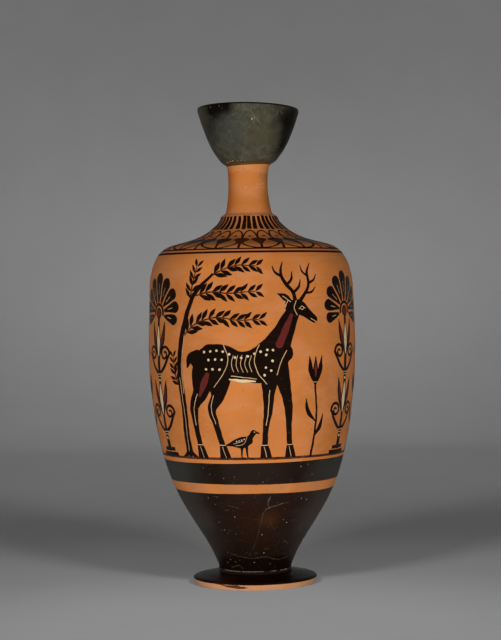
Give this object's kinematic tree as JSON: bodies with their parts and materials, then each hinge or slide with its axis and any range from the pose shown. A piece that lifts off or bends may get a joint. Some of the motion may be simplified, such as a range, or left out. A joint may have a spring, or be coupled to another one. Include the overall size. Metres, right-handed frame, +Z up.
{
  "type": "lekythos",
  "caption": "Tall shoulder oil jar with a calyx mouth, narrow waisted neck, strap handle at the back and disc foot, in orange clay painted with black gloss.",
  "frame": {"origin": "on the vessel's axis, in the plane that the foot stands on", "axes": "+Z up along the axis, out of the mouth; +Y towards the handle at the back; +X to the right seen from the front"},
  "size_m": [0.1306, 0.1306, 0.3],
  "materials": {
    "reserved_clay": "satin burnished orange clay",
    "black_gloss": "fired black gloss slip, worn",
    "joint_slip": "matt clay slip",
    "added_white": "matt cream slip paint",
    "added_red": "matt dark red slip paint"
  },
  "bodies": {
    "root": {"foot": "reserved_clay", "foot_joint_slip": "joint_slip", "body": "reserved_clay", "neck_joint_slip": "joint_slip", "neck": "reserved_clay", "mouth_joint_slip": "joint_slip", "mouth": "black_gloss", "handle": "black_gloss", "handle_top_slip": "joint_slip", "handle_root_slip": "joint_slip"}
  },
  "joints": []
}
